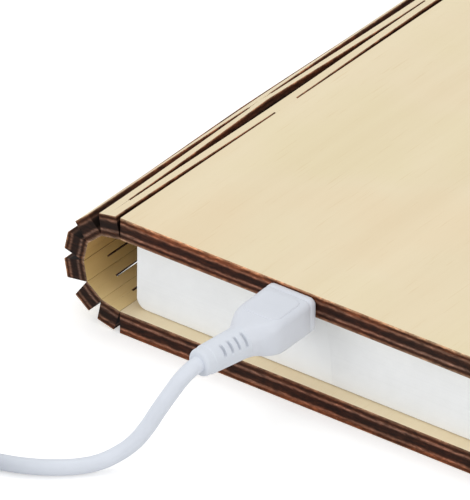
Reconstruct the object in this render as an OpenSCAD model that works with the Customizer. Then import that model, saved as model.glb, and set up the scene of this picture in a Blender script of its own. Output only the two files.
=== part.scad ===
// Folding book lamp: a plywood cover with a slotted living-hinge spine, pleated
// paper pages, a slim light core between them and a plug-in charging lead.
// X runs from the spine to the fore edge, Y from the tail to the head, Z up.
// The lamp lies closed on its back board, with its origin under its middle.

/* [Book] */
// Width of the closed book, spine to fore edge
book_w = 170; // [150:1:190]
// Height of the book along its spine
book_h = 215; // [195:1:235]
// Thickness of the closed book
book_t = 26; // [25.6:0.2:30]

/* [Plywood cover] */
// Thickness of the plywood
ply = 4.9; // [4.4:0.1:5.1]
// Width of the laser cut between two strips
kerf = 0.3; // [0.2:0.05:0.4]
// Widest opening of a closed slot in a folded strip
slot_open = 0.9; // [0.6:0.1:1.2]
// Uncut wood left at the ends of a closed slot
slot_land = 7; // [5:0.5:9]

/* [Pages] */
// How far the pages stand back from the tail and head edges
page_inset = 3.2; // [2.5:0.1:5]
// How far the pages stand back from the fore edge
fore_inset = 4; // [3:0.5:8]
// Gap between the spine and the inner edge of the pages
page_start = 1.7; // [1.5:0.1:3]
// Thickness of the paper glued inside each board
endpaper_t = 0.2; // [0.15:0.05:0.3]
// Free space between two folded pages
page_gap = 0.08; // [0.06:0.01:0.12]

/* [Light core] */
// Distance of the core's middle from the spine edge of the board
core_x = 41.2; // [38:0.2:45]
// Width of the core across its lid
core_w = 10.2; // [10.2:0.1:12]
// Length of the core
core_len = 184; // [180:1:186]
// Wall of the core's housing
core_wall = 1; // [0.8:0.1:1.1]
// Clearance between the core and what swings past it
core_gap = 0.2; // [0.15:0.05:0.4]

/* [Electronics] */
// Thickness of both circuit boards
pcb_t = 1; // [0.8:0.1:1.2]
// Length of the charging board
charge_len = 28; // [24:1:30]
// Free room behind the light board
led_margin = 7; // [3:0.5:12]
// Number of light chips
led_count = 12; // [8:1:14]
// Length of the battery cell
cell_len = 70; // [60:1:74]
// Width of the battery cell
cell_w = 7; // [6:0.1:7.2]
// Height of the battery cell
cell_h = 10; // [9:0.1:10.4]
// Diameter of the holding magnets
magnet_d = 8; // [6:0.5:10]
// Thickness of the holding magnets
magnet_t = 2; // [1.5:0.1:2.5]

/* [Charging lead] */
// Width of the moulded plug body
plug_w = 10.2; // [10:0.1:10.4]
// Height of the moulded plug body
plug_h = 7; // [6.6:0.1:7]
// Length of the moulded plug body
plug_len = 17.4; // [16:0.2:20]
// Length of the strain relief
relief_len = 11.4; // [10:0.2:14]
// Diameter of the cord
cord_d = 3; // [2.8:0.1:3.2]

/* [Hidden] */
$fn = 48;

wood = "burlywood";
paper = "white";
opal = "whitesmoke";
board_green = "seagreen";
steel = "silver";
lead_white = "aliceblue";

// ---- the folded spine: six strips between seven hinge lines ----
strips = 6;
fold = [10, 31, 37, 23, 41, 24, 14]; // turn at each hinge line, front to back
function sum_to(v, n) = n < 0 ? 0 : v[n] + sum_to(v, n - 1);
function turn(i) = sum_to(fold, i - 1); // strip i's slope from the front board
turn_sines = sum_to([for (i = [1:strips]) sin(turn(i))], strips - 1);
pitch = (book_t - 2 * ply) / turn_sines;
function hinge_line(i) = i == 0
    ? [-kerf / 2, book_t - ply]
    : hinge_line(i - 1) - pitch * [cos(turn(i)), sin(turn(i))];
function outer_corner(i, u) = hinge_line(i - 1) - u * [cos(turn(i)), sin(turn(i))]
    + ply * [-sin(turn(i)), cos(turn(i))];
spine_reach = -min([for (i = [1:strips]) min(
    outer_corner(i, kerf / 2)[0], outer_corner(i, pitch - kerf / 2)[0])]);
board_w = book_w - spine_reach;

// The lower leaves, up to the middle one, swing about a low line inside the spine. The
// upper leaves and the front cover fold about a line as far above the middle, which
// the middle leaf carries, so that the cover follows the spine's own path
swing_shift = 7.7;
swing = [swing_shift - (strips * pitch + kerf) / 2, book_t / 2 - swing_shift];

// ---- pages ----
pages = 11;
middle_page = 6;
stack_low = ply + endpaper_t;
stack_high = book_t - ply - endpaper_t;
page_step = (stack_high - stack_low) / pages;
page_end = board_w - fore_inset;

// ---- light core ----
core_y = page_inset;
core_low = stack_low;
core_high = stack_high - core_gap;
lid_t = 1.2;
lid_low = core_high - lid_t;
core_left = core_x - core_w / 2;
core_reach = norm([core_x + core_w / 2 - swing[0], core_high - swing[1]]);

// ---- electronics ----
socket_w = 7.4;
socket_h = 2.6;
socket_len = 6.4;
socket_wall = 0.25;
socket_y = core_y + 0.3;
room_y = core_y + core_wall;
room_end = core_y + core_len - core_wall;
charge_y = room_y + 0.3;
charge_z = lid_low - pcb_t;
plug_z = lid_low + socket_h / 2;
board_left = core_left + core_wall + 0.1;
pcb_w = core_w - 2 * core_wall;
port_side = 0.4; // room beside the socket in the front board
port_top = 0.2; // room above it
led_y = charge_y + charge_len + 3;
led_len = room_end - led_y - led_margin;
chip = [2.8, 3.5, 0.7];
led_z = lid_low - 0.4 - chip[2] - pcb_t;
ledge = 1;
cell_y = led_y + 3;
cell_z = core_low + core_wall;
reed_d = 2;
reed_len = 14;
reed_y = cell_y + cell_len + 8;
sense_d = 6;
sense_t = 1.5;
magnet_fore = 14;
magnet_side = 26;
pocket_gap = 0.1;

// ---- charging lead ----
nose_y = -0.2; // the plug's nose stops just short of the boards
plug_back = nose_y - plug_len;
relief_yaw = 8; // the relief leans towards the spine
relief_d = 6.2;
relief_tip_d = 5;
shell_w = 6.8;
shell_h = 1.9;
shell_len = 6.7;

// Route of the cord from the plug to the coil, then from the coil to the adapter
cord_route = [
    [-31.4, -133.6, 20.8], [-31.9, -136.7, 20.7], [-32.6, -139.3, 19.6],
    [-33.7, -141.5, 16.8], [-35.0, -143.3, 13.3], [-36.8, -144.7, 9.4],
    [-39.2, -145.9, 6.0], [-41.9, -147.0, 3.6], [-44.9, -148.7, 2.1],
    [-48.0, -151.0, 1.5], [-51.2, -154.1, 1.5], [-54.9, -157.2, 1.5],
    [-59.6, -160.0, 1.5], [-65.5, -162.0, 1.5], [-71.5, -163.2, 1.5],
    [-77.4, -163.5, 1.5]
];
tail_route = [
    [-77.4, -203.5, 7.5], [-72, -203.5, 7.2], [-66, -203.7, 6.2],
    [-61, -204, 5], [-56, -204.3, 4.2], [-51.4, -204.5, 4]
];
coil_centre = [-77.4, -183.5];
coil_turn_r = 17;
coil_rings = 3;
adapter_start = [-54, -204.5, 4];
adapter_body_size = [26, 15.6, 8];
adapter_shell_size = [14, 12, 4.5];
adapter_relief_len = 10;

// ---- helpers ----
// The spine edge of the boards and the tail edge are the construction's zero
module in_frame() {
    translate([spine_reach - book_w / 2, -book_h / 2, 0]) children();
}
// Extrudes an outline drawn in X and Z along Y
module along_y(y0, len) {
    translate([0, y0 + len, 0]) rotate([90, 0, 0]) linear_extrude(len) children();
}
// A round-cornered block along X with its middle at the origin
module soft_block(size, r) {
    rotate([90, 0, 90]) linear_extrude(size[0])
        offset(r) square([size[1] - 2 * r, size[2] - 2 * r], center = true);
}
// Section of the core: flat towards the spine, and towards the fore edge the arc
// that the lower leaves swing along
module core_shape(inset, z0, z1) {
    intersection() {
        translate([core_left + inset, z0]) square([2 * core_w, z1 - z0]);
        translate(swing) circle(core_reach - inset, $fn = 180);
    }
}
// A tube of diameter d swept along a list of points
function unit(v) = v / norm(v);
function along(p, i) = unit(p[min(i + 1, len(p) - 1)] - p[max(i - 1, 0)]);
function side(t) = unit(cross(t, abs(t[2]) < 0.9 ? [0, 0, 1] : [1, 0, 0]));
module tube(p, d, sides = 8) {
    rings = [for (i = [0:len(p) - 1])
        let (t = along(p, i), s = side(t), u = cross(s, t))
        for (k = [0:sides - 1]) p[i] + d / 2 * (cos(360 * k / sides) * s
            + sin(360 * k / sides) * u)];
    last = len(p) - 1;
    polyhedron(rings, concat(
        [[for (k = [0:sides - 1]) k]],
        [[for (k = [sides - 1:-1:0]) last * sides + k]],
        [for (i = [0:last - 1], k = [0:sides - 1])
            [i * sides + k, (i + 1) * sides + k,
             (i + 1) * sides + (k + 1) % sides, i * sides + (k + 1) % sides]]));
}

// ---- cover ----
module at_magnets(z) {
    for (y = [magnet_side, book_h - magnet_side])
        translate([board_w - magnet_fore, y, z]) children();
}
module board(low) {
    translate([0, 0, low]) cube([board_w, book_h, ply]);
}
module back_board() {
    color(wood) in_frame() difference() {
        board(0);
        at_magnets(ply - magnet_t - pocket_gap)
            cylinder(d = magnet_d + 2 * pocket_gap, h = ply);
    }
}
// Recess in the front cover's inside, open at the tail, for the top of the socket
module port_recess() {
    half = socket_w / 2 + port_side;
    translate([core_x - half, -1, stack_high - 1])
        cube([2 * half, socket_y + socket_len + port_side + 1,
              plug_z + socket_h / 2 + port_top - stack_high + 1]);
}
module front_board() {
    inner = book_t - ply;
    color(wood) in_frame() difference() {
        board(inner);
        at_magnets(inner - ply)
            cylinder(d = magnet_d + 2 * pocket_gap, h = ply + magnet_t + pocket_gap);
        translate([core_x, reed_y + reed_len / 2, inner - ply])
            cylinder(d = sense_d + 2 * pocket_gap, h = ply + sense_t + pocket_gap);
        port_recess();
    }
}
// A closed slot seen on the strip's face: a lens that has sprung open
module lens_slot(y0, y1) {
    steps = 12;
    function half(s) = kerf / 2 + (slot_open - kerf) / 2 * sin(180 * s);
    edge = [for (k = [0:steps]) [half(k / steps), y0 + (y1 - y0) * k / steps]];
    translate([pitch / 2, 0])
        polygon(concat(edge, [for (k = [steps:-1:0]) [-edge[k][0], edge[k][1]]]));
}
// Drawn flat with its inner face down and the hinge line on Y, then folded
module spine_strip(i) {
    middle = book_h / 2;
    p = hinge_line(i - 1);
    color(wood) in_frame() translate([p[0], 0, p[1]])
        rotate([0, -turn(i), 0]) mirror([1, 0, 0])
        linear_extrude(ply) difference() {
            translate([kerf / 2, 0]) square([pitch - kerf, book_h]);
            lens_slot(slot_land, middle - slot_land / 2);
            lens_slot(middle + slot_land / 2, book_h - slot_land);
        }
}

// ---- pages ----
module endpaper(low) {
    color(paper) in_frame() translate([page_start, page_inset, low])
        cube([page_end - page_start, book_h - 2 * page_inset, endpaper_t]);
}
module front_endpaper() {
    color(paper) difference() {
        endpaper(stack_high);
        in_frame() port_recess();
    }
}
// One pleat pressed flat, slotted round the core
module page(i) {
    low = stack_low + (i - 1) * page_step + page_gap / 2;
    thick = page_step - page_gap;
    color(paper) in_frame() difference() {
        translate([page_start, page_inset, low])
            cube([page_end - page_start, book_h - 2 * page_inset, thick]);
        along_y(page_inset - 1, core_len + core_gap + 1)
            core_shape(-core_gap, low - 1, low + thick + 1);
    }
}

// ---- light core ----
// Room inside the housing from y0 to y1, from height z0 up
module room(y0, y1, inset, z0, z1 = book_t) {
    along_y(y0, y1 - y0) core_shape(inset, z0, z1);
}
module core_housing() {
    color(opal) in_frame() difference() {
        along_y(core_y, core_len) core_shape(0, core_low, lid_low);
        // narrow well, which leaves ledges that carry both circuit boards
        room(room_y, room_end, core_wall + ledge, core_low + core_wall);
        room(room_y, led_y - 1, core_wall, charge_z);
        room(led_y - 1, room_end, core_wall, led_z);
        room(led_y, cell_y + cell_len + 1, core_wall, core_low + core_wall, led_z - ledge);
    }
}
// Flat lid, notched at the tail for the socket
module core_lid() {
    notch_w = socket_w + 0.2;
    color(opal) in_frame() difference() {
        along_y(core_y, core_len) core_shape(0, lid_low, core_high);
        translate([core_x - notch_w / 2, core_y - 1, lid_low - 1])
            cube([notch_w, socket_len + 1.5, lid_t + 2]);
    }
}
module battery_cell() {
    r = 1.5;
    color("slategray") in_frame() along_y(cell_y, cell_len)
        translate([core_x, core_low + core_wall + cell_h / 2])
        offset(r) square([cell_w - 2 * r, cell_h - 2 * r], center = true);
}
// Two wires from the cell's end, which rise to the charging board
module battery_wires() {
    wire_d = 0.9;
    gap = 1.6;
    top = core_low + core_wall + cell_h - wire_d;
    rise_y = charge_y + charge_len - 2;
    color("firebrick") in_frame() for (s = [-1, 1]) {
        translate([core_x + s * gap, cell_y, top]) rotate([90, 0, 0])
            cylinder(d = wire_d, h = cell_y - rise_y);
        translate([core_x + s * gap, rise_y, top - wire_d / 2])
            cylinder(d = wire_d, h = charge_z - top + wire_d / 2);
    }
}
module charge_board() {
    color(board_green) in_frame() translate([board_left, charge_y, charge_z])
        cube([pcb_w, charge_len, pcb_t]);
}
// The metal mouth of the connector: flat above, with its lower corners cut
module connector(w, h) {
    cut = h * 0.4;
    polygon([[-w / 2, h / 2], [w / 2, h / 2], [w / 2, cut - h / 2], [w / 2 - cut, -h / 2],
             [cut - w / 2, -h / 2], [-w / 2, cut - h / 2]]);
}
tongue = [4.4, 0.6];
module charge_socket() {
    inner_w = socket_w - 2 * socket_wall;
    inner_h = socket_h - 2 * socket_wall;
    color(steel) in_frame() translate([core_x, 0, plug_z]) {
        along_y(socket_y, socket_len - socket_wall) difference() {
            connector(socket_w, socket_h);
            connector(inner_w, inner_h);
        }
        along_y(socket_y + socket_len - socket_wall, socket_wall)
            connector(socket_w, socket_h);
        along_y(socket_y + 1, socket_len - 1) square(tongue, center = true);
    }
}
module light_board() {
    color(board_green) in_frame() translate([board_left, led_y, led_z])
        cube([pcb_w, led_len, pcb_t]);
}
module light_chips() {
    step = led_len / led_count;
    color("khaki") in_frame() for (i = [0:led_count - 1])
        translate([core_x - chip[0] / 2, led_y + (i + 0.5) * step - chip[1] / 2,
                   led_z + pcb_t])
            cube(chip);
}
// Glass reed switch that lights the lamp when the cover's magnet swings away
module reed_switch() {
    color("lightblue") in_frame()
        translate([core_x, reed_y + reed_len, led_z - reed_d / 2]) rotate([90, 0, 0])
        cylinder(d = reed_d, h = reed_len);
}
module switch_magnet() {
    color(steel) in_frame() translate([core_x, reed_y + reed_len / 2, book_t - ply])
        cylinder(d = sense_d, h = sense_t);
}
module holding_magnets(z) {
    color(steel) in_frame() at_magnets(z) cylinder(d = magnet_d, h = magnet_t);
}

// ---- charging lead ----
module plug_shell() {
    wall = 0.3;
    color(steel) in_frame() translate([core_x, 0, plug_z])
        along_y(nose_y, shell_len) difference() {
            connector(shell_w, shell_h);
            connector(shell_w - 2 * wall, shell_h - 2 * wall);
        }
}
// A thin slice of the plug body at distance y from the tail edge
module plug_slice(y, w, h, r) {
    along_y(y, 0.2) offset(r, $fn = 24)
        square([w - 2 * r, h - 2 * r], center = true);
}
module plug_body() {
    lip = 1;
    groove = 0.5;
    shoulder = nose_y - 8.1;
    r = 1.5;
    back_w = relief_d + 0.6;
    color(lead_white) in_frame() translate([core_x, 0, plug_z]) {
        // nose lip, a narrow groove, then the body
        along_y(nose_y - lip, lip) offset(r, $fn = 24)
            square([plug_w - 2 * r, plug_h - 2 * r], center = true);
        along_y(nose_y - lip - groove, groove) offset(r, $fn = 24)
            square([plug_w - 2 * r - groove, plug_h - 2 * r - groove], center = true);
        hull() {
            plug_slice(nose_y - lip - groove - 0.2, plug_w, plug_h, r);
            plug_slice(shoulder, plug_w, plug_h, r);
        }
        hull() {
            plug_slice(shoulder, plug_w, plug_h, r);
            plug_slice(plug_back + 2.4, back_w + 0.6, relief_d + 0.2, 2.4);
        }
        hull() {
            plug_slice(plug_back + 2.4, back_w + 0.6, relief_d + 0.2, 2.4);
            plug_slice(plug_back, back_w, relief_d, 3);
        }
        // grip panel on both faces
        for (s = [-1, 1])
            translate([0, shoulder + 1.5, s * (plug_h / 2 - 0.3)])
                linear_extrude(0.6, center = true)
                offset(1.2, $fn = 24) square([plug_w - 5.4, 5 - 2.4], center = true);
    }
}
// Ribbed sleeve that bends with the cord, drawn along Z and laid back
module sleeve(d0, d1, len, slots) {
    tip_r = 0.8;
    slot_w = 0.7;
    slot_deep = 0.7;
    step = (len - 3.4) / slots;
    difference() {
        rotate_extrude($fn = 40) polygon(concat(
            [[0, 0], [d0 / 2, 0], [d1 / 2, len - tip_r]],
            [for (a = [15:15:90]) [d1 / 2 - tip_r + tip_r * cos(a), len - tip_r + tip_r * sin(a)]],
            [[0, len]]));
        for (k = [0:slots - 1], s = [-1, 1]) {
            z = 1.2 + k * step;
            r = d0 / 2 + (d1 - d0) / 2 * z / len;
            translate([s * (r - slot_deep + 1), 0, z + slot_w / 2])
                cube([2, r * 1.2, slot_w], center = true);
        }
    }
}
module plug_relief() {
    color(lead_white) in_frame() translate([core_x, plug_back + 0.4, plug_z])
        rotate([0, 0, -relief_yaw]) rotate([90, 0, 0]) rotate([0, 0, 90])
        sleeve(relief_d, relief_tip_d, relief_len + 0.4, 4);
}
module cord_run() {
    color(lead_white) tube(cord_route, cord_d);
}
module cord_tail() {
    color(lead_white) tube(tail_route, cord_d);
}
// The wound part of the cord: three turns wide and three turns high
module cord_coil() {
    half = coil_rings * cord_d / 2;
    r = cord_d / 2;
    color(lead_white) translate([coil_centre[0], coil_centre[1], half])
        rotate_extrude($fn = 72) translate([coil_turn_r, 0])
        offset(r, $fn = 16) square(2 * (half - r), center = true);
}
module coil_tie() {
    band = 0.6;
    half = coil_rings * cord_d / 2;
    width = 4;
    color("gainsboro")
        translate([coil_centre[0] - coil_turn_r, coil_centre[1] + width / 2, half])
        rotate([90, 0, 0]) linear_extrude(width) difference() {
            offset(1, $fn = 24) square([2 * half, 2 * half - 2], center = true);
            offset(1, $fn = 24)
                square([2 * (half - band), 2 * (half - band - 1)], center = true);
        }
}
module adapter_relief() {
    color(lead_white) translate(adapter_start + [adapter_relief_len, 0, 0])
        rotate([0, -90, 0]) sleeve(5.6, 4.4, adapter_relief_len, 3);
}
module adapter_body() {
    color(lead_white) translate(adapter_start + [adapter_relief_len, 0, 0])
        soft_block(adapter_body_size, 1.5);
}
module adapter_shell() {
    wall = 0.3;
    size = adapter_shell_size;
    tongue_h = 1.8;
    color(steel)
        translate(adapter_start + [adapter_relief_len + adapter_body_size[0], 0, 0])
        rotate([90, 0, 90]) linear_extrude(size[0]) {
            difference() {
                square([size[1], size[2]], center = true);
                square([size[1] - 2 * wall, size[2] - 2 * wall], center = true);
            }
            translate([0, wall / 2 - (size[2] / 2 - wall) + tongue_h / 2])
                square([size[1] - 2 * wall, tongue_h], center = true);
        }
}

back_board();
front_board();
spine_strip(1);  // spine_strip_1
spine_strip(2);  // spine_strip_2
spine_strip(3);  // spine_strip_3
spine_strip(4);  // spine_strip_4
spine_strip(5);  // spine_strip_5
spine_strip(6);  // spine_strip_6
endpaper(ply);  // back_endpaper
front_endpaper();
page(1);  // page_01
page(2);  // page_02
page(3);  // page_03
page(4);  // page_04
page(5);  // page_05
page(6);  // page_06
page(7);  // page_07
page(8);  // page_08
page(9);  // page_09
page(10);  // page_10
page(11);  // page_11
core_housing();
core_lid();
battery_cell();
battery_wires();
charge_board();
charge_socket();
light_board();
light_chips();
reed_switch();
switch_magnet();
holding_magnets(ply - magnet_t);  // back_magnets
holding_magnets(book_t - ply);  // front_magnets
plug_shell();
plug_body();
plug_relief();
cord_run();
cord_coil();
cord_tail();
coil_tie();
adapter_relief();
adapter_body();
adapter_shell();
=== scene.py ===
import math

import bmesh
import bpy
from mathutils import Matrix, Vector


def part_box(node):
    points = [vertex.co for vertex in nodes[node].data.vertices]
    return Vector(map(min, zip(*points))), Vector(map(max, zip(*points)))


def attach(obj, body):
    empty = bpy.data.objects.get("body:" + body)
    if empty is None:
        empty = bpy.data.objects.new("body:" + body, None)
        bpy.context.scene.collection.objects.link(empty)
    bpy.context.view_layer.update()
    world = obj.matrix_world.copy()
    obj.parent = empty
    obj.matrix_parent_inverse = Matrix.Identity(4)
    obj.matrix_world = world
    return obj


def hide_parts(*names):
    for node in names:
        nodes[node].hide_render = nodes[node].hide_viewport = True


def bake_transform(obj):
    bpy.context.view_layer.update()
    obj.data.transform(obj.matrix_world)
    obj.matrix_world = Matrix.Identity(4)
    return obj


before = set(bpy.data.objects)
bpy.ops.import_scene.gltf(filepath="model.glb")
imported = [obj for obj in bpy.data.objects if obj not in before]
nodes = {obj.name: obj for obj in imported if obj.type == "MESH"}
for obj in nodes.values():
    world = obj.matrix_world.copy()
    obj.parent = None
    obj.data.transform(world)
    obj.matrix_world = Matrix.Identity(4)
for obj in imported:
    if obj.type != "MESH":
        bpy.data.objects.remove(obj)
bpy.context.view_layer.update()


# ---- camera ----
# A long lens off the corner between the tail and the fore edge, about 2.5 m away, looking down
# at the lamp so that the folded spine, the tail of the pages and the plug show.
camera_side = (0.8009, 0.59872, 0.00929)
camera_up = (-0.31669, 0.41037, 0.85516)
camera_back = (0.50819, -0.68784, 0.51828)
camera_place = (1.19041, -1.77819, 1.28781)
lens = bpy.data.cameras.new("camera")
lens.lens = 914.4
lens.sensor_width = 36
lens.clip_end = 20
camera = bpy.data.objects.new("camera", lens)
camera.matrix_world = Matrix([[camera_side[k], camera_up[k], camera_back[k], camera_place[k]]
                              for k in range(3)] + [[0, 0, 0, 1]])
bpy.context.scene.collection.objects.link(camera)
bpy.context.scene.camera = camera


# ---- cord of the charging lead ----
# Round 3.2 mm cable with a smooth white jacket. It leaves the plug's relief, drops to the table
# and is wound into a small coil: two layers of three turns and part of a turn on top, from
# which the end comes down to the adapter plug.
mm = 0.001
cord_thick = 3.2
cord_drop = [
    (-31.7, -132.9, 21.4), (-32.1, -136.1, 21.2), (-32.8, -138.9, 19.8),
    (-34.1, -140.9, 16.8), (-35.7, -142.4, 13.3), (-37.4, -143.9, 9.4),
    (-39.4, -145.4, 6.0), (-41.7, -147.2, 3.6), (-44.1, -149.8, 2.1),
    (-46.7, -152.7, 1.6), (-49.9, -155.7, 1.6), (-54.0, -158.4, 1.6),
    (-59.3, -160.6, 1.6), (-65.5, -162.1, 1.6), (-71.5, -163.2, 1.6),
]
cord_leave = [(-72, -203.5, 7.6), (-66, -203.7, 6.5), (-61, -204, 5.2),
              (-56, -204.3, 4.3), (-51.4, -204.5, 4)]
coil_middle = (-77.4, -183.5)
coil_radius = 20.0
coil_turns = 6.5
points_a_turn = 20
# (turn where it starts, turn where it ends, step outwards and step up in cord thicknesses)
coil_steps = [(1.05, 1.20, -1, 0), (2.05, 2.20, -1, 0), (2.90, 3.05, 0, 1),
              (3.75, 3.90, 1, 0), (4.75, 4.90, 1, 0), (5.60, 5.75, 0, 1)]


def smooth(share):
    share = min(max(share, 0), 1)
    return share * share * (3 - 2 * share)


def coil_point(turn):
    radius, height = coil_radius, cord_thick / 2
    for start, end, outwards, up in coil_steps:
        share = smooth((turn - start) / (end - start)) * cord_thick
        radius += outwards * share
        height += up * share
    angle = math.radians(90 + 360 * turn)
    return (coil_middle[0] + radius * math.cos(angle),
            coil_middle[1] + radius * math.sin(angle), height)


cord_line = (cord_drop + [coil_point(k / points_a_turn)
                          for k in range(int(coil_turns * points_a_turn) + 1)] + cord_leave)
cord_curve = bpy.data.curves.new("charging_cord", "CURVE")
cord_curve.dimensions = "3D"
cord_curve.bevel_depth = cord_thick / 2 * mm
cord_curve.bevel_resolution = 6
cord_curve.resolution_u = 5
cord_spline = cord_curve.splines.new("BEZIER")
cord_spline.bezier_points.add(len(cord_line) - 1)
for knot, place in zip(cord_spline.bezier_points, cord_line):
    knot.co = Vector(place) * mm
    knot.handle_left_type = knot.handle_right_type = "AUTO"
charging_cord = bpy.data.objects.new("charging_cord", cord_curve)
bpy.context.scene.collection.objects.link(charging_cord)


def paint(red, green, blue):
    """A paint card's 0-255 colour as the renderer's linear numbers."""
    return tuple(((c / 255 + 0.055) / 1.055) ** 2.4 if c > 10 else c / 3295
                 for c in (red, green, blue)) + (1.0,)


def put(tree, kind, inputs=None, **settings):
    """Adds a node; an input is a number, a colour, or the socket that feeds it."""
    node = tree.nodes.new("ShaderNode" + kind)
    for key, value in settings.items():
        setattr(node, key, value)
    for key, value in (inputs or {}).items():
        if isinstance(value, bpy.types.NodeSocket):
            tree.links.new(value, node.inputs[key])
        else:
            node.inputs[key].default_value = value
    return node


def ramp(tree, share, stops):
    """Colours along a 0-1 share."""
    node = put(tree, "ValToRGB", {0: share})
    while len(node.color_ramp.elements) < len(stops):
        node.color_ramp.elements.new(0.5)
    for element, (place, colour) in zip(node.color_ramp.elements, stops):
        element.position = place
        element.color = colour
    return node.outputs[0]


def grey(value):
    return (value, value, value, 1)


def finish(name, look, **sockets):
    """A material whose Principled shader takes fixed values from sockets and the rest from
    look(tree, place), with place the rest position in millimetres."""
    material = bpy.data.materials.new(name)
    material.use_nodes = True
    tree = material.node_tree
    shader = tree.nodes["Principled BSDF"]
    for key, value in sockets.items():
        shader.inputs[key.replace("_", " ")].default_value = value
    place = put(tree, "TexCoord").outputs["Object"]
    for key, value in look(tree, place).items():
        tree.links.new(value, shader.inputs[key.replace("_", " ")])
    return material


def bump(tree, height, distance, strength=1.0):
    return put(tree, "Bump", {"Height": height, "Distance": distance,
                              "Strength": strength}).outputs[0]


def effect_group(name, inputs, outputs):
    """An empty node group with (name, kind) sockets, and the nodes at its two ends."""
    group = bpy.data.node_groups.new(name, "ShaderNodeTree")
    for in_out, sockets in (("INPUT", inputs), ("OUTPUT", outputs)):
        for socket, kind in sockets:
            group.interface.new_socket(socket, in_out=in_out, socket_type="NodeSocket" + kind)
    given = group.nodes.new("NodeGroupInput").outputs
    out = group.nodes.new("NodeGroupOutput")
    return group, given, out


def mould_group():
    """Fine moulded skin: faint clouding of the colour, a satin unevenness and a soft grain."""
    group, given, out = effect_group(
        "moulded skin", (("Place", "Vector"), ("Colour", "Color"), ("Shade", "Color"),
                         ("Roughness", "Float"), ("Grain", "Float")),
        (("Colour", "Color"), ("Roughness", "Float"), ("Height", "Float")))
    cloud = put(group, "TexNoise", {"Vector": given["Place"], "Scale": 90, "Detail": 3})
    grain = put(group, "TexNoise", {"Vector": given["Place"], "Scale": given["Grain"],
                                    "Detail": 4})
    colour = put(group, "Mix", {0: ramp(group, cloud.outputs[0],
                                        [(0.35, grey(0)), (0.7, grey(1))]),
                                6: given["Colour"], 7: given["Shade"]}, data_type="RGBA")
    rough = put(group, "Math", {0: cloud.outputs[0], 1: 0.12, 2: given["Roughness"]},
                operation="MULTIPLY_ADD")
    group.links.new(colour.outputs[2], out.inputs["Colour"])
    group.links.new(rough.outputs[0], out.inputs["Roughness"])
    group.links.new(grain.outputs[0], out.inputs["Height"])
    return group


moulded_skin = mould_group()


def moulded(colour, shade, roughness, grain=4000):
    """Look of a moulded plastic, from the skin group."""
    grain_deep = 0.01 * mm

    def look(tree, place):
        skin = put(tree, "Group", node_tree=moulded_skin)
        for key, value in (("Colour", paint(*colour)), ("Shade", paint(*shade)),
                           ("Roughness", roughness), ("Grain", grain)):
            skin.inputs[key].default_value = value
        tree.links.new(place, skin.inputs["Place"])
        return {"Base_Color": skin.outputs["Colour"], "Roughness": skin.outputs["Roughness"],
                "Normal": bump(tree, skin.outputs["Height"], grain_deep, 0.6)}
    return look


cord_jacket = finish("cord jacket", moulded((219, 224, 233), (212, 217, 226), 0.42, 2500))
charging_cord.data.materials.append(cord_jacket)
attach(charging_cord, "charging_lead")
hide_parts("cord_run", "cord_coil", "cord_tail")


# ---- plug of the charging lead ----
# White over-moulding on a small metal connector: a flat-sided body with a raised lip and a
# groove at the nose, a grip panel on each face, and a tapered tail that runs into the relief.
nose_y = -107.7


def round_box(width, height, radius):
    """Outline of a round-cornered section, counter-clockwise, from the lower right corner."""
    corner_steps = 6
    points = []
    for k, (sx, sz) in enumerate(((1, -1), (1, 1), (-1, 1), (-1, -1))):
        for n in range(corner_steps + 1):
            angle = math.radians(-90 + 90 * k + 90 * n / corner_steps)
            points.append((sx * (width / 2 - radius) + radius * math.cos(angle),
                           sz * (height / 2 - radius) + radius * math.sin(angle)))
    return points


def skin_over(name, rings, smooth_below, caps=(True, True)):
    """Joins rings of points, given in millimetres, into one skin, closed at the ends that caps
    names, and smooth across edges below an angle."""
    count = len(rings[0])
    points = [Vector(p) * mm for ring in rings for p in ring]
    faces = [(r * count + k, r * count + (k + 1) % count,
              (r + 1) * count + (k + 1) % count, (r + 1) * count + k)
             for r in range(len(rings) - 1) for k in range(count)]
    if caps[0]:
        faces.append(tuple(range(count))[::-1])
    if caps[1]:
        faces.append(tuple((len(rings) - 1) * count + k for k in range(count)))
    mesh = bpy.data.meshes.new(name)
    mesh.from_pydata(points, [], faces)
    shell = bmesh.new()
    shell.from_mesh(mesh)
    bmesh.ops.recalc_face_normals(shell, faces=shell.faces)
    shell.to_mesh(mesh)
    shell.free()
    mesh.shade_smooth()
    mesh.set_sharp_from_angle(angle=math.radians(smooth_below))
    piece = bpy.data.objects.new(name, mesh)
    bpy.context.scene.collection.objects.link(piece)
    return piece


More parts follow.
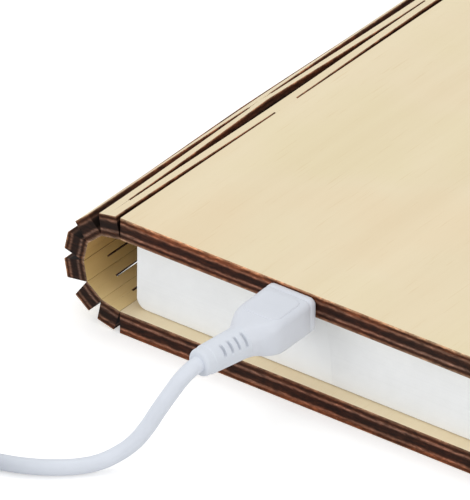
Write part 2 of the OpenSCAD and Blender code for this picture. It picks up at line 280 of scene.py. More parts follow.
# (distance behind the nose, middle across, middle height, width, height, corner radius)
plug_sections = [
    (0.0, -29.9, 21.7, 9.4, 5.8, 0.8), (0.0, -29.9, 21.7, 10.5, 6.9, 1.2),
    (0.1, -29.9, 21.7, 10.9, 7.3, 1.35), (0.35, -29.9, 21.7, 11.1, 7.5, 1.4),
    (1.35, -29.9, 21.7, 11.1, 7.5, 1.4), (1.5, -29.9, 21.7, 11.0, 7.4, 1.4),
    (1.6, -29.9, 21.7, 10.8, 7.2, 1.3), (1.85, -29.9, 21.7, 10.8, 7.2, 1.3),
    (1.95, -29.9, 21.7, 11.0, 7.4, 1.4), (2.1, -29.9, 21.68, 11.1, 7.45, 1.4),
    (4.0, -29.9, 21.6, 11.1, 7.45, 1.4), (7.0, -29.92, 21.5, 11.1, 7.5, 1.5),
    (9.0, -29.95, 21.45, 11.1, 7.65, 1.6), (10.5, -29.97, 21.4, 10.95, 7.7, 1.8),
    (11.7, -30.0, 21.4, 10.5, 7.55, 2.1), (12.5, -30.02, 21.4, 9.95, 7.4, 2.35),
    (13.3, -30.08, 21.4, 9.2, 7.15, 2.65), (14.2, -30.2, 21.4, 8.2, 6.9, 3.0),
    (15.0, -30.26, 21.38, 7.4, 6.75, 3.2), (15.9, -30.36, 21.35, 6.95, 6.65, 3.25),
    (16.6, -30.46, 21.35, 6.75, 6.5, 3.2), (16.8, -30.5, 21.35, 6.2, 6.0, 2.9),
]
plug_body = skin_over("charging_plug", [
    [(middle + x, nose_y - back, height + z) for x, z in round_box(w, h, r)]
    for back, middle, height, w, h, r in plug_sections], smooth_below=50)
panel_long, panel_wide, panel_round = 8.4, 8.3, 1.6
panel_x, panel_y = -29.9, nose_y - 6.9
# (growth of the outline, height above the flat) from the panel's foot to its top
panel_steps = ((0.1, -0.3), (0.1, -0.02), (0, 0.1), (-0.1, 0.16), (-0.3, 0.18))


def grip_panel(name, flat_z, slope, outwards):
    """A low raised panel on the plug's upper or lower flat, which slopes a little."""
    rings = []
    for grow, rise in panel_steps:
        outline = round_box(panel_wide + 2 * grow, panel_long + 2 * grow, panel_round + grow)
        rings.append([(panel_x + x, panel_y + y, flat_z + slope * y + outwards * rise)
                      for x, y in outline])
    return skin_over(name, rings, caps=(False, True), smooth_below=50)


lead_plastic = finish("lead plastic", moulded((215, 219, 227), (208, 212, 220), 0.42))
plug_top_panel = grip_panel("plug_top_panel", 25.3, 0.022, 1)
plug_under_panel = grip_panel("plug_under_panel", 17.74, 0.028, -1)
for piece in (plug_body, plug_top_panel, plug_under_panel):
    piece.data.materials.append(lead_plastic)
    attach(piece, "charging_lead")
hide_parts("plug_body")


# ---- relief sleeves of the lead ----
# Soft tapered sleeves moulded over the cord where it enters each plug. Short slots on two
# opposite sides let them bend without kinking the cord.
slot_half, slot_slope, slot_deep = 0.36, 0.14, 0.6
slot_fade = 8  # degrees over which a slot runs out at either end
collar_long, collar_step, collar_slope = 2.2, 0.14, 0.25
tip_long, tip_round = 0.8, 0.65


def relief_sleeve(name, start, heading, length, wide, narrow, slots, facing):
    """A tapered sleeve from start along heading. Slots are (distance, half its arc in
    degrees); they are cut around the facing angle and around its opposite."""
    heading = Vector(heading).normalized()
    side = heading.cross(Vector((0, 0, 1))).normalized()
    up = side.cross(heading)
    across, along = 96, 120
    rings, hollows = [], []
    for n in range(along + 1):
        back = length * n / along
        radius = (wide + (narrow - wide) * back / length) / 2
        radius -= collar_step * smooth((back - length + collar_long) / collar_slope)
        tip = max(0, back - (length - tip_long)) / tip_long
        radius -= tip_round * (1 - math.sqrt(max(0, 1 - tip * tip)))
        ring = []
        for k in range(across):
            angle = 360 * k / across
            deep = 0
            for place, half_arc in slots:
                wall = smooth((slot_half - abs(back - place)) / slot_slope)
                turned = abs((angle - facing + 90) % 180 - 90)
                reach = smooth((half_arc + slot_fade / 2 - turned) / slot_fade)
                deep = max(deep, wall * reach)
            hollows.append(deep)
            angle = math.radians(angle)
            outwards = math.cos(angle) * side + math.sin(angle) * up
            ring.append(Vector(start) + heading * back + (radius - slot_deep * deep) * outwards)
        rings.append(ring)
    sleeve = skin_over(name, rings, smooth_below=60)
    layer = sleeve.data.attributes.new("hollow", "FLOAT", "POINT")
    layer.data.foreach_set("value", hollows)
    return sleeve


def relief_look(tree, place):
    """Moulded skin with painted shade, greyer down in the slots."""
    skin = moulded((215, 220, 228), (208, 213, 222), 0.48, 3000)(tree, place)
    hollow = put(tree, "Attribute", attribute_name="hollow").outputs["Fac"]
    # painted shade: the skin is mixed towards a darker grey where a slot is deep
    painted_slot_shade = put(tree, "Mix", {0: ramp(tree, hollow, [(0.1, grey(0)), (0.7, grey(1))]),
                             6: skin["Base_Color"], 7: paint(206, 210, 218)},
               data_type="RGBA")
    skin["Base_Color"] = painted_slot_shade.outputs[2]
    return skin


relief_yaw = math.radians(8)
adapter_at = (-44.0, -204.5, 4.0)
plug_relief = relief_sleeve(
    "plug_relief_sleeve", (-30.38, nose_y - 15.9, 21.35),
    (-math.sin(relief_yaw), -math.cos(relief_yaw), 0), length=11.5, wide=6.65, narrow=5.9,
    slots=((1.4, 27), (3.3, 25), (5.1, 24), (7.0, 22)), facing=139)
adapter_relief = relief_sleeve(
    "adapter_relief_sleeve", adapter_at, (-1, 0, 0), length=10.0, wide=5.8, narrow=4.6,
    slots=((1.8, 40), (3.6, 40), (5.4, 40)), facing=90)
relief_rubber = finish("relief rubber", relief_look)
for piece, node in ((plug_relief, "plug_relief"), (adapter_relief, "adapter_relief")):
    piece.data.materials.append(relief_rubber)
    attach(piece, "charging_lead")
    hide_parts(node)


def soften(piece, width):
    """Merges flat facets and rounds the edges of a solid from the workshop drawing."""
    flat = piece.modifiers.new("flat faces", "DECIMATE")
    flat.decimate_type = "DISSOLVE"
    flat.angle_limit = math.radians(1)
    edge = piece.modifiers.new("soft edge", "BEVEL")
    edge.width = width * mm
    edge.segments = 2
    edge.limit_method = "ANGLE"
    edge.angle_limit = math.radians(30)
    edge.harden_normals = True


def coat(name, material):
    """Gives a solid from the workshop drawing its finish."""
    nodes[name].data.materials.clear()
    nodes[name].data.materials.append(material)


def brushed(tree, place):
    lines = put(tree, "Mapping", {"Vector": place, "Scale": (9000, 300, 9000)})
    noise = put(tree, "TexNoise", {"Vector": lines.outputs[0], "Scale": 1, "Detail": 3})
    tone = ramp(tree, noise.outputs[0], [(0.3, paint(196, 196, 196)),
                                         (0.7, paint(222, 221, 218))])
    rough = put(tree, "MapRange", {"Value": noise.outputs[0], "To Min": 0.22, "To Max": 0.4})
    return {"Base_Color": tone, "Roughness": rough.outputs[0],
            "Normal": bump(tree, noise.outputs[0], 0.004 * mm, 0.5)}


plated_steel = finish("plated steel", brushed, Metallic=1.0)
for name in ("plug_shell", "adapter_shell", "charge_socket"):
    coat(name, plated_steel)
soften(nodes["adapter_shell"], 0.15)


# ---- adapter plug ----
# The flat plug at the lead's far end: a white moulded grip that swells from the relief to a
# rounded oblong, with the metal shell pressed into its front.

# (distance from the relief, width, height, corner radius)
adapter_sections = [
    (0.0, 7.0, 4.6, 2.2), (0.3, 8.6, 6.0, 2.7), (1.0, 10.0, 6.9, 2.9), (2.2, 11.6, 7.4, 2.7),
    (3.8, 13.4, 7.7, 2.4), (5.6, 14.8, 7.9, 2.1), (7.5, 15.5, 8.0, 1.9), (10.0, 15.6, 8.0, 1.8),
    (14.0, 15.6, 8.0, 1.8), (20.0, 15.6, 8.0, 1.8), (25.2, 15.6, 8.0, 1.8),
    (25.7, 15.4, 7.8, 1.7), (26.0, 14.8, 7.2, 1.4), (26.0, 14.0, 6.4, 1.1),
]
adapter_body = skin_over("adapter_grip", [
    [(adapter_at[0] + back, adapter_at[1] + side, adapter_at[2] + z)
     for side, z in round_box(w, h, r)]
    for back, w, h, r in adapter_sections], smooth_below=50)
adapter_body.data.materials.append(lead_plastic)
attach(adapter_body, "charging_lead")
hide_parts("adapter_body")


# ---- coil tie ----
# A strip of white hook-and-loop tape, woven from nylon. It is wrapped once round the coil and
# pressed onto itself.
def woven(tree, place):
    threads = put(tree, "TexWave", {"Vector": place, "Scale": 700, "Distortion": 1.5},
                  bands_direction="DIAGONAL")
    nap = put(tree, "TexNoise", {"Vector": place, "Scale": 3500, "Detail": 3})
    both = put(tree, "Math", {0: threads.outputs[1], 1: nap.outputs[0]}, operation="ADD")
    tone = ramp(tree, nap.outputs[0], [(0.3, paint(196, 199, 204)),
                                       (0.7, paint(224, 226, 230))])
    return {"Base_Color": tone, "Normal": bump(tree, both.outputs[0], 0.12 * mm, 0.8)}


coat("coil_tie", finish("hook and loop tape", woven, Roughness=0.85))


# ---- covers ----
# Two boards of birch plywood, 4.9 mm thick, cut out of one sheet with the spine by a laser.
# The beam leaves the faces pale and chars the cut edges, the middle ply and the glue lines
# darkest.
board_t = 4.9
book_t = 26.0
wood_grain_deep = 0.06 * mm


def veneer_group():
    """Pale rotary-cut birch: fine pores and streaks along the book's height, and very faint
    clouds of pink and green."""
    group, given, out = effect_group(
        "birch veneer", (("Place", "Vector"), ("Pale", "Color"), ("Dark", "Color")),
        (("Colour", "Color"), ("Height", "Float")))
    long = put(group, "Mapping", {"Vector": given["Place"], "Scale": (150, 7, 150)})
    streaks = put(group, "TexNoise", {"Vector": long.outputs[0], "Scale": 1, "Detail": 5,
                                      "Roughness": 0.6})
    fine = put(group, "Mapping", {"Vector": given["Place"], "Scale": (3200, 90, 3200)})
    pores = put(group, "TexNoise", {"Vector": fine.outputs[0], "Scale": 1, "Detail": 3})
    cloud = put(group, "TexNoise", {"Vector": given["Place"], "Scale": 26, "Detail": 2})
    share = ramp(group, streaks.outputs[0], [(0.25, grey(0)), (0.8, grey(1))])
    wood = put(group, "Mix", {0: share, 6: given["Pale"], 7: given["Dark"]}, data_type="RGBA")
    tint = ramp(group, cloud.outputs[0], [(0.35, paint(255, 252, 250)), (0.5, grey(1)),
                                          (0.65, paint(253, 254, 250))])
    toned = put(group, "Mix", {0: 1.0, 6: wood.outputs[2], 7: tint}, data_type="RGBA",
                blend_type="MULTIPLY")
    specks = ramp(group, pores.outputs[0], [(0.27, paint(238, 226, 205)), (0.37, grey(1))])
    flecked = put(group, "Mix", {0: 0.35, 6: toned.outputs[2], 7: specks}, data_type="RGBA",
                  blend_type="MULTIPLY")
    group.links.new(flecked.outputs[2], out.inputs["Colour"])
    group.links.new(pores.outputs[0], out.inputs["Height"])
    return group


def plies_group():
    """A laser-cut edge by its depth from the outer face (0) to the inner one (1): tan veneer,
    a black glue line, a brown ply, a nearly black middle, and the same again below, wavering
    and flecked, with reddish patches under the outer veneer."""
    group, given, out = effect_group(
        "burnt plies", (("Depth", "Float"), ("Char", "Float"), ("Place", "Vector")),
        (("Colour", "Color"), ("Height", "Float")))
    wander = put(group, "TexNoise", {"Vector": given["Place"], "Scale": 320, "Detail": 7,
                                     "Roughness": 0.75})
    waver = 0.12
    off = put(group, "Math", {0: wander.outputs[0], 1: waver, 2: -waver / 2},
              operation="MULTIPLY_ADD")
    depth = put(group, "Math", {0: given["Depth"], 1: off.outputs[0]}, operation="ADD")
    bands = ramp(group, depth.outputs[0], [
        (0.00, paint(204, 176, 143)), (0.045, paint(183, 147, 116)), (0.09, paint(148, 109, 82)),
        (0.135, paint(80, 45, 25)), (0.185, paint(56, 23, 7)), (0.23, paint(98, 63, 44)),
        (0.28, paint(130, 94, 77)), (0.315, paint(114, 83, 67)), (0.36, paint(62, 38, 27)),
        (0.41, paint(42, 23, 15)), (0.58, paint(40, 21, 13)), (0.62, paint(50, 28, 18)),
        (0.655, paint(88, 62, 50)), (0.70, paint(127, 97, 84)), (0.735, paint(120, 90, 75)),
        (0.78, paint(70, 43, 29)), (0.83, paint(42, 17, 4)), (0.88, paint(72, 43, 28)),
        (0.93, paint(112, 84, 66)), (1.00, paint(146, 120, 98))])
    bits = put(group, "Mapping", {"Vector": given["Place"], "Scale": (480, 480, 2100)})
    flecks = put(group, "TexNoise", {"Vector": bits.outputs[0], "Scale": 1, "Detail": 5,
                                     "Roughness": 0.7})
    shade = ramp(group, flecks.outputs[0], [(0.36, grey(0.42)), (0.45, grey(0.8)),
                                            (0.54, (1.08, 1.06, 1.04, 1)),
                                            (0.64, (1.95, 1.9, 1.85, 1))])
    patches = put(group, "TexNoise", {"Vector": given["Place"], "Scale": 28, "Detail": 2})
    heat = ramp(group, patches.outputs[0], [(0.42, (1.18, 0.92, 0.82, 1)), (0.6, grey(1))])
    warm = put(group, "Mix", {0: 1.0, 6: bands, 7: heat}, data_type="RGBA",
               blend_type="MULTIPLY")
    red_zone = ramp(group, depth.outputs[0], [(0.09, grey(0)), (0.14, grey(0.55)),
                                              (0.23, grey(0.5)), (0.3, grey(0))])
    red_patch = put(group, "Math", {0: red_zone, 1: ramp(group, patches.outputs[0], [
        (0.42, grey(1)), (0.56, grey(0))])}, operation="MULTIPLY")
    reddened = put(group, "Mix", {0: red_patch.outputs[0], 6: warm.outputs[2],
                                  7: paint(140, 82, 54)}, data_type="RGBA")
    streaky = put(group, "Mix", {0: 1.0, 6: reddened.outputs[2], 7: shade}, data_type="RGBA",
                  blend_type="MULTIPLY")
    below = ramp(group, depth.outputs[0], [(0.06, grey(0.1)), (0.16, grey(0.5)),
                                           (0.4, grey(1)), (0.6, grey(1)),
                                           (0.78, grey(0.6)), (0.95, grey(0.25))])
    darkening = put(group, "Math", {0: given["Char"], 1: below}, operation="MULTIPLY")
    charred = put(group, "Mix", {0: darkening.outputs[0], 6: streaky.outputs[2],
                                 7: paint(20, 11, 7)}, data_type="RGBA")
    group.links.new(charred.outputs[2], out.inputs["Colour"])
    group.links.new(flecks.outputs[0], out.inputs["Height"])
    return group


birch_veneer = veneer_group()
burnt_plies = plies_group()


birch_pale, birch_dark = (234, 220, 189), (228, 212, 179)


def veneer_look(tree, place, pale=birch_pale, dark=birch_dark):
    """Socket of the veneer's colour, and of its height."""
    face = put(tree, "Group", node_tree=birch_veneer)
    face.inputs["Pale"].default_value = paint(*pale)
    face.inputs["Dark"].default_value = paint(*dark)
    tree.links.new(place, face.inputs["Place"])
    return face.outputs["Colour"], face.outputs["Height"]


def plies_look(tree, place, depth, char=0.0):
    """Socket of the cut edge's colour, and of its height. Char, a number or a socket, blackens
    the walls of slots, where the beam's fumes stayed longest."""
    edge = put(tree, "Group", {"Char": char}, node_tree=burnt_plies)
    tree.links.new(place, edge.inputs["Place"])
    tree.links.new(depth, edge.inputs["Depth"])
    return edge.outputs["Colour"], edge.outputs["Height"]


def board_finish(name, outer_z, inner_z, outer_depth_start, pale, dark):
    """Veneer on the faces and charred plies on the edges of a board that lies flat."""
    def look(tree, place):
        # the depth scale starts at outer_depth_start on the outer face; a later start leaves out
        # the pale outer band, so that edge is darker along the outer face
        depth = put(tree, "MapRange", {"Value": put(tree, "SeparateXYZ", {0: place}).outputs[2],
                                       "From Min": outer_z * mm, "From Max": inner_z * mm,
                                       "To Min": outer_depth_start})
        facing = put(tree, "SeparateXYZ", {0: put(tree, "NewGeometry").outputs["True Normal"]})
        upright = put(tree, "Math", {0: facing.outputs[2]}, operation="ABSOLUTE")
        cut = ramp(tree, upright.outputs[0], [(0.55, grey(1)), (0.85, grey(0))])
        face_colour, face_height = veneer_look(tree, place, pale, dark)
        in_slot = put(tree, "MapRange", {"Value": facing.outputs[0], "From Min": -0.4,
                                         "From Max": -0.8, "To Max": 0.96})
        edge_colour, edge_height = plies_look(tree, place, depth.outputs[0],
                                              in_slot.outputs[0])
        colour = put(tree, "Mix", {0: cut, 6: face_colour, 7: edge_colour}, data_type="RGBA")
        height = put(tree, "Mix", {0: cut, 2: face_height, 3: edge_height})
        return {"Base_Color": colour.outputs[2],
                "Normal": bump(tree, height.outputs[0], wood_grain_deep, 0.5)}
    return finish(name, look, Roughness=0.62, Specular_IOR_Level=0.1)


# painted light: the back board's veneer is painted paler than the front board's, to brighten the
# shaded ledge in front of the pages
for name, outer_z, inner_z, outer_depth_start, pale, dark in (
        ("front_board", book_t, book_t - board_t, 0, birch_pale, birch_dark),
        ("back_board", 0, board_t, 0.09, (244, 229, 196), (237, 220, 185))):
    coat(name, board_finish(name + " birch", outer_z, inner_z, outer_depth_start, pale, dark))
    soften(nodes[name], 0.09)


# ---- folding spine ----
# The same sheet, slotted lengthwise so that it can roll: rows of closed slots between short
# bridges. Each bar between two slots twists from bridge to bridge as the spine bends, and the
# slots gape where a bar has turned away from its neighbour.

# turn at each of the seven hinge lines, from the front board to the back board
fold = (10, 31, 37, 23, 41, 24, 14)
turns = [sum(fold[:k]) for k in range(8)]
spine_pitch = (book_t - 2 * board_t) / sum(math.sin(math.radians(t)) for t in turns[1:7])
kerf = 0.3
bridge = 3.5
end_land = 7.0
half_length = 107.5
spine_x = -71.4183
hinge_at = [(-kerf / 2, book_t - board_t)]
for t in turns[1:7]:
    last = hinge_at[-1]
    hinge_at.append((last[0] - spine_pitch * math.cos(math.radians(t)),
                     last[1] - spine_pitch * math.sin(math.radians(t))))
strip_bodies = ["front_cover"] + ["spine_%d" % k for k in range(1, 7)] + ["back_cover"]
# a strip is whole, and lies flat, at its flat bridges; at its twist bridges it holds on to the
# next strip
flat_bridges = (-half_length, 0.0, half_length)
twist_bridges = (-half_length / 2, half_length / 2)


def depth_finish(name, look_of):
    """A spine finish that knows each point's depth below the outer face."""
    def look(tree, place):
        depth = put(tree, "Attribute", attribute_name="depth").outputs["Fac"]
        colour, height = look_of(tree, place, depth)
        return {"Base_Color": colour, "Normal": bump(tree, height, wood_grain_deep, 0.5)}
    return finish(name, look, Roughness=0.62, Specular_IOR_Level=0.1)


spine_face = depth_finish("spine outer veneer", lambda tree, place, depth: veneer_look(
    tree, place))


def lining_look(tree, place, depth):
    """Inner veneer, browned by the beam's fumes, darker in the joints. Painted shade makes both
    darkest towards the front board, higher up the spine."""
    colour, height = veneer_look(tree, place, (238, 216, 166), (226, 201, 148))
    rise = put(tree, "MapRange", {"Value": put(tree, "SeparateXYZ", {0: place}).outputs[2],
                                  "From Min": 3 * mm, "From Max": 15 * mm})
    # painted shade: the lining is darkened more the higher it rises towards the front board
    darkening = ramp(tree, rise.outputs[0], [(0, (1, 1, 0.97, 1)), (0.25, (1, 0.97, 0.89, 1)),
                                         (0.55, (0.77, 0.68, 0.52, 1)),
                                         (1, (0.65, 0.53, 0.38, 1))])
    smoked_with_painted_shade = put(tree, "Mix", {0: 1.0, 6: colour, 7: darkening}, data_type="RGBA",
                 blend_type="MULTIPLY")
    # darker joints, with painted shade that deepens them towards the front board
    joint = put(tree, "MapRange", {"Value": depth, "From Min": 0.999, "From Max": 0.985})
    joint_darkening = ramp(tree, rise.outputs[0], [(0.15, (0.6, 0.56, 0.5, 1)),
                                        (0.48, (0.3, 0.25, 0.17, 1)),
                                        (0.84, (0.05, 0.035, 0.02, 1))])
    jointed = put(tree, "Mix", {0: joint.outputs[0], 6: smoked_with_painted_shade.outputs[2], 7: joint_darkening},
                  data_type="RGBA", blend_type="MULTIPLY")
    return jointed.outputs[2], height


# the inner veneer's material holds the beam's browning and the painted shade
spine_lining = depth_finish("smoked inner veneer", lining_look)
spine_ends = depth_finish("spine cut ends", lambda tree, place, depth: plies_look(
    tree, place, depth, char=0.5))
slot_walls = depth_finish("charred slot walls", lambda tree, place, depth: plies_look(
    tree, place, depth, char=0.96))


bar_steps = 22
inner_overlap = 0.02  # the inner edges of two rolled bars press into each other
joint_deep, joint_side = 0.1, 0.06  # the small groove that is left between them
lining_from, lining_from_rigid = 0.08, 0.15  # where the lining starts beside that groove
outer_edge_soft = 0.12
slot_edge_soft = 0.1
sharp = 0.002  # edge of a face that only joins another piece
strip_5_flare = 0.16  # how far strip 5's slot is wider at the outer face
burn_range = 0.93  # the burnt plies' scale runs from 1 at the lining to this much less


def half_bar(strip, half, flat_y, twist_y):
    """One bar from a bridge to its own strip's other half, at flat_y, to the middle of the
    next bridge to its neighbour strip, at twist_y."""
    # the two bars at the middle fold don't twist
    rigid = (strip, half) in ((3, 1), (4, 0))
    beside_board = (strip, half) in ((1, 0), (6, 1))
    reach = twist_y - flat_y
    at_end = abs(flat_y) > half_length / 2
    flat_until = (end_land if at_end else bridge) / abs(reach)
    twist_from = 1 - bridge / abs(reach)
    stations = [k / bar_steps for k in range(bar_steps + 1)]
    for mark in (flat_until, twist_from):  # a slot's end is a step between two close rings
        stations += [mark - 1e-5, mark + 1e-5]
    rings, depths = [], []
    for share in sorted(stations):
        y = flat_y + reach * share
        weight = 0 if rigid else smooth(share if beside_board else share / 2)
        if half == 0:
            turn = math.radians(turns[strip] - weight * fold[strip - 1])
            anchor, sign = hinge_at[strip - 1], -1
        else:
            turn = math.radians(turns[strip] + weight * fold[strip])
            anchor, sign = hinge_at[strip], 1
        # the inner edges of two bars meet when the sheet is rolled; the outer ones gape
        near_in, near_out, near_edge = -inner_overlap, kerf / 2, outer_edge_soft
        if share > twist_from:
            near_in = near_out = -kerf / 2 if beside_board else 0
            near_edge = sharp
        far_in = far_out = spine_pitch / 2
        far_edge = sharp
        if share >= flat_until:
            far_in -= kerf / 2
            far_out -= kerf / 2 + (strip_5_flare if (strip, half) == (5, 0) else 0)
            far_edge = slot_edge_soft
        near_cut = lining_from_rigid if rigid else lining_from
        outline = [(near_in + near_cut, 0), (far_in - far_edge, 0), (far_in, far_edge),
                   (far_out, board_t - far_edge), (far_out - far_edge, board_t),
                   (near_out + near_edge, board_t), (near_out, board_t - near_edge),
                   (near_in - joint_side, joint_deep)]
        rings.append([(spine_x + anchor[0] + sign * u * math.cos(turn) - v * math.sin(turn), y,
                       anchor[1] + sign * u * math.sin(turn) + v * math.cos(turn))
                      for u, v in outline])
        depths += [1 - burn_range * v / board_t for u, v in outline]
    where = "tail" if flat_y < 0 else "head" if flat_y > 0 else "mid"
    piece = skin_over("spine_%d_bar_%d_%s%d" % (strip, half + 1, where, twist_y > 0), rings,
                      caps=(at_end, False), smooth_below=25)
    layer = piece.data.attributes.new("depth", "FLOAT", "POINT")
    layer.data.foreach_set("value", depths)
    for material in (spine_lining, spine_face, slot_walls, spine_ends):
        piece.data.materials.append(material)
    for face in piece.data.polygons:
        places = sorted(set(k % len(outline) for k in face.vertices))
        if len(places) > 2:
            material = spine_ends
        elif places in ([0, 1], [0, 7]):
            material = spine_lining
        else:
            material = spine_face if places == [4, 5] else slot_walls
        face.material_index = piece.data.materials.find(material.name)
    if rigid:
        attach(piece, strip_bodies[strip])
    else:
        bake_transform(piece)
    return piece


for strip in range(1, 7):
    for half in (0, 1):
        for flat_y in flat_bridges:
            for twist_y in twist_bridges:
                if abs(twist_y - flat_y) > half_length:
                    continue
                bar = half_bar(strip, half, flat_y, twist_y)
                if half == 0 and flat_y == -half_length:
                    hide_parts("spine_strip_%d" % strip)


# ---- pages ----
# White sheets of tough spun paper, pleated like an accordion. Pressed shut, each pleat is a
# leaf of two sheets with a round fold at the fore edge, slotted from the tail to clear the
# light core.
page_count = 11
page_low, page_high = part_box("page_01")
page_left, page_tail = page_low[0] / mm, page_low[1] / mm
page_right, page_head = page_high[0] / mm, page_high[1] / mm
stack_low, stack_high = 5.1, 20.9
page_step = (stack_high - stack_low) / page_count
page_press = 0.004  # a leaf's upper sheet presses into the next leaf
crease_round, top_round = 0.03, 0.5
pile_round = 2.3
# the slot for the light core: its straight side, its end, and the arc of its other side, along
# which the leaves swing past the core
core_left, core_end = -35.32, 79.9
core_turn = (spine_x - 5.776, 5.3)
core_reach = 54.3
core_clear = 0.02


def paper_group():
    """Spun paper: cloudy fibres and a faint wrinkle."""
    group, given, out = effect_group("spun paper", (("Place", "Vector"),),
                                     (("Colour", "Color"), ("Height", "Float")))
    cloud = put(group, "TexNoise", {"Vector": given["Place"], "Scale": 120, "Detail": 6,
                                    "Roughness": 0.65})
    fibre = put(group, "TexNoise", {"Vector": given["Place"], "Scale": 1600, "Detail": 3,
                                    "Distortion": 2})
    tone = ramp(group, cloud.outputs[0], [(0.3, paint(235, 237, 238)),
                                          (0.7, paint(242, 244, 245))])
    both = put(group, "Math", {0: cloud.outputs[0], 1: 3, 2: fibre.outputs[0]},
               operation="MULTIPLY_ADD")
    group.links.new(tone, out.inputs["Colour"])
    group.links.new(both.outputs[0], out.inputs["Height"])
    return group


spun_paper = paper_group()


def paper_look(tree, place):
    """Paper with the sheets' faint edges showing where a pleat is cut across."""
    paper = put(tree, "Group", {"Place": place}, node_tree=spun_paper)
    facing = put(tree, "SeparateXYZ", {0: put(tree, "NewGeometry").outputs["True Normal"]})
    upright = put(tree, "Math", {0: facing.outputs[2]}, operation="ABSOLUTE")
    cut = ramp(tree, upright.outputs[0], [(0.3, grey(1)), (0.8, grey(0))])
    squeeze = put(tree, "Mapping", {"Vector": place, "Scale": (8, 8, 2600)})
    sheets = put(tree, "TexNoise", {"Vector": squeeze.outputs[0], "Scale": 1, "Detail": 2})
    lines = ramp(tree, sheets.outputs[0], [(0.3, grey(0.985)), (0.5, grey(1))])
    colour = put(tree, "Mix", {0: cut, 6: paper.outputs["Colour"], 7: lines},
                 data_type="RGBA", blend_type="MULTIPLY")
    return {"Base_Color": colour.outputs[2],
            "Normal": bump(tree, paper.outputs["Height"], 0.03 * mm, 0.6)}


page_paper = finish("page paper", paper_look, Roughness=0.75, Specular_IOR_Level=0.25)


def pleat_side(x_at, low, high, radii=(0.0, 0.0), outwards=1, corner_steps=4, levels=1):
    """Side of a pleat's cross-section from its lower sheet up to its upper one, with its
    two corners rounded to the given radii; levels are the straight stretches between them."""
    points = []
    for n in range(corner_steps + 1):
        turn = math.pi / 2 * n / corner_steps
        z = low + radii[0] * (1 - math.cos(turn))
        points.append((x_at(z) - outwards * radii[0] * (1 - math.sin(turn)), z))
    bottom, top = low + radii[0], high - radii[1]
    for n in range(1, levels):
        z = bottom + (top - bottom) * (n / levels) ** 2
        points.append((x_at(z), z))
    for n in range(corner_steps + 1):
        turn = math.pi / 2 * n / corner_steps
        z = high - radii[1] * (1 - math.sin(turn))
        points.append((x_at(z) - outwards * radii[1] * (1 - math.cos(turn)), z))
    return points


def pleat_part(start_y, end_y, left, right):
    """A stretch of a pleat between two sides of its cross-section."""
    return skin_over("leaf_part", [[(x, y, z) for x, z in right + left[::-1]]
                                   for y in (start_y, end_y)], smooth_below=30)


def pile_back(z):
    """The pile's glued back edge, round at the bottom."""
    rise = min(max(1 - (z - stack_low) / pile_round, 0), 1)
    return page_left + pile_round * (1 - math.sqrt(1 - rise * rise))


def swing_arc(z):
    """The slot's far side, which clears the core as the leaf swings."""
    return core_clear + core_turn[0] + math.sqrt(core_reach ** 2 - (z - core_turn[1]) ** 2)


for k in range(page_count):
    low = stack_low + k * page_step
    high = low + page_step + page_press
    fold_round = page_step / 2
    back_round = (crease_round, top_round if k == page_count - 1 else crease_round)
    back_fold = pleat_side(pile_back, low, high, back_round, -1, corner_steps=6, levels=10)
    slot_back = pleat_side(lambda z: core_left - core_clear, low, high)
    slot_front = pleat_side(swing_arc, low, high)
    fore_fold = pleat_side(lambda z: page_right, low, high, (fold_round, fold_round))
    stretches = [pleat_part(page_tail, core_end, back_fold, slot_back),
                 pleat_part(page_tail, core_end, slot_front, fore_fold),
                 pleat_part(core_end, page_head, back_fold, fore_fold)]
    leaf = bmesh.new()
    for stretch in stretches:
        leaf.from_mesh(stretch.data)
        bpy.data.objects.remove(stretch)
    mesh = bpy.data.meshes.new("leaf_%02d_paper" % (k + 1))
    leaf.to_mesh(mesh)
    leaf.free()
    mesh.materials.append(page_paper)
    pleat = bpy.data.objects.new(mesh.name, mesh)
    bpy.context.scene.collection.objects.link(pleat)
    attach(pleat, "leaf_%02d" % (k + 1))
    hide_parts("page_%02d" % (k + 1))


# ---- endpapers ----
# One white sheet glued inside each board, under the outer leaf. It is cut short of the pile's
# round back edge and of its tail, so that no edge of it shows.
short_of_back, short_of_tail = pile_round * 0.9, 0.8
edge_zone = 0.5
for name in ("back_endpaper", "front_endpaper"):
    sheet = bpy.data.objects.new(name + "_sheet", nodes[name].data.copy())
    for point in sheet.data.vertices:
        if point.co.x < (page_left + edge_zone) * mm:
            point.co.x += short_of_back * mm
        if point.co.y < (page_tail + edge_zone) * mm:
            point.co.y += short_of_tail * mm
    sheet.data.materials.clear()
    sheet.data.materials.append(page_paper)
    bpy.context.scene.collection.objects.link(sheet)
    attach(sheet, name.replace("endpaper", "cover"))
    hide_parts(name)


# ---- light core ----
# A slim trough and lid of moulded opal plastic, fixed to the back cover in the pages' slot. It
# holds the cell, both boards and the row of light chips.
opal_plastic = finish("opal plastic", moulded((241, 243, 244), (237, 239, 240), 0.55))
for name in ("core_housing", "core_lid"):
    coat(name, opal_plastic)
    soften(nodes[name], 0.2)


# ---- electronics ----
# Inside the core: two green boards with printed tracks, a wrapped lithium cell, two sleeved
# wires, a glass reed switch and a row of phosphor-coated light chips. Small plated magnets in
# the covers hold the book and work the switch.
def printed_board(tree, place):
    grid = put(tree, "TexBrick", {"Vector": place, "Scale": 260, "Mortar Size": 0.12,
                                  "Color1": grey(0.15), "Color2": grey(0.3),
                                  "Mortar": grey(0.9)})
    tone = ramp(tree, grid.outputs[0], [(0.1, paint(18, 78, 52)), (0.9, paint(38, 112, 76))])
    return {"Base_Color": tone, "Normal": bump(tree, grid.outputs[1], 0.04 * mm, 0.7)}


solder_mask = finish("solder mask", printed_board, Roughness=0.35, Coat_Weight=0.3)
for name in ("charge_board", "light_board"):
    coat(name, solder_mask)


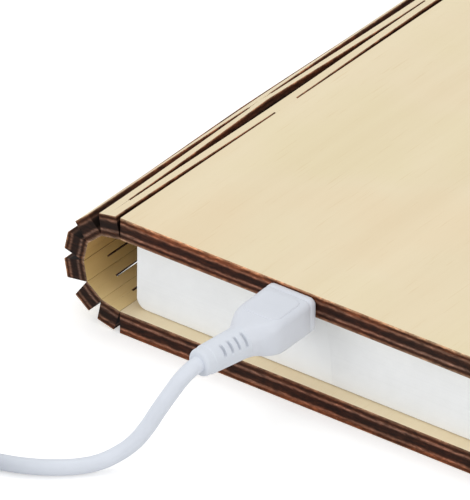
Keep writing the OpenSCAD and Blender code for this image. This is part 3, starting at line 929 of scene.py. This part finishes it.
def cell_film(tree, place):
    crinkle = put(tree, "TexNoise", {"Vector": place, "Scale": 240, "Detail": 5,
                                     "Distortion": 1.2})
    tone = ramp(tree, crinkle.outputs[0], [(0.3, paint(70, 82, 100)),
                                           (0.7, paint(92, 106, 126))])
    return {"Base_Color": tone, "Normal": bump(tree, crinkle.outputs[0], 0.1 * mm, 0.6)}


coat("battery_cell", finish("cell wrap", cell_film, Roughness=0.28))
coat("battery_wires", finish("wire sleeve", moulded((176, 40, 34), (150, 30, 26), 0.4)))
coat("light_chips", finish("light chip", moulded((236, 214, 96), (222, 190, 60), 0.3)))


def switch_look(tree, place):
    streak = put(tree, "TexNoise", {"Vector": place, "Scale": 900, "Detail": 2})
    tone = ramp(tree, streak.outputs[0], [(0.3, paint(168, 196, 188)),
                                          (0.7, paint(196, 220, 210))])
    return {"Base_Color": tone}


coat("reed_switch", finish("switch glass", switch_look, Roughness=0.08))
for name in ("back_magnets", "front_magnets", "switch_magnet"):
    coat(name, plated_steel)


# ---- table and light ----
# A white table under a soft, even studio light: one large panel above, one low in front of the
# tail on the spine's side, one low beside the fore edge, and a bright room all round.
table_half = 3.0
table_drop = 0.0002
table_mesh = bpy.data.meshes.new("table")
table_mesh.from_pydata([(sx * table_half, sy * table_half, 0) for sx, sy in
                        ((-1, -1), (1, -1), (1, 1), (-1, 1))], [], [(0, 1, 2, 3)])
table = bpy.data.objects.new("table", table_mesh)
table.location.z = -table_drop
bpy.context.scene.collection.objects.link(table)


def seen_directly(tree):
    """1 for a ray from the camera, off gloss or through glass, else 0."""
    path = put(tree, "LightPath").outputs
    seen = put(tree, "Math", {0: path["Is Camera Ray"], 1: path["Is Glossy Ray"]},
               operation="MAXIMUM")
    seen = put(tree, "Math", {0: seen.outputs[0], 1: path["Is Transmission Ray"]},
               operation="MAXIMUM")
    return seen.outputs[0]


def table_look():
    """Pale matt white that glows a little where it is seen, so that it shows as white and
    still keeps the lamp's shadow."""
    glow_strength = 0.42
    material = bpy.data.materials.new("white table")
    material.use_nodes = True
    tree = material.node_tree
    shader = tree.nodes["Principled BSDF"]
    shader.inputs["Base Color"].default_value = grey(0.8)
    shader.inputs["Roughness"].default_value = 0.8
    lift = put(tree, "Math", {0: seen_directly(tree), 1: glow_strength}, operation="MULTIPLY")
    glow = put(tree, "Emission", {"Color": grey(1), "Strength": lift.outputs[0]})
    both = put(tree, "AddShader", {0: shader.outputs[0], 1: glow.outputs[0]})
    tree.links.new(both.outputs[0], tree.nodes["Material Output"].inputs["Surface"])
    return material


table.data.materials.append(table_look())
room_light, room_seen = 0.76, 1.0
room = bpy.data.worlds.new("bright room")
room.use_nodes = True
bpy.context.scene.world = room
sky = room.node_tree
strength = put(sky, "Mix", {0: seen_directly(sky), 2: room_light, 3: room_seen})
sky.links.new(strength.outputs[0], sky.nodes["Background"].inputs["Strength"])
sky.nodes["Background"].inputs["Color"].default_value = grey(1)


def light_panel(name, place, size, power):
    """A round soft lamp that faces the middle of the book."""
    lamp = bpy.data.lights.new(name, "AREA")
    lamp.shape = "DISK"
    lamp.size = size
    lamp.energy = power
    panel = bpy.data.objects.new(name, lamp)
    panel.location = place
    panel.rotation_euler = (-Vector(place)).to_track_quat("-Z", "Y").to_euler()
    bpy.context.scene.collection.objects.link(panel)


light_panel("key panel", (-0.2, 0.4, 2.4), size=1.6, power=9.4)
light_panel("tail panel", (-1.0, -2.2, 0.8), size=1.3, power=13)
light_panel("side panel", (2.2, -0.4, 0.8), size=1.2, power=9)

bpy.context.scene.view_settings.view_transform = "Standard"
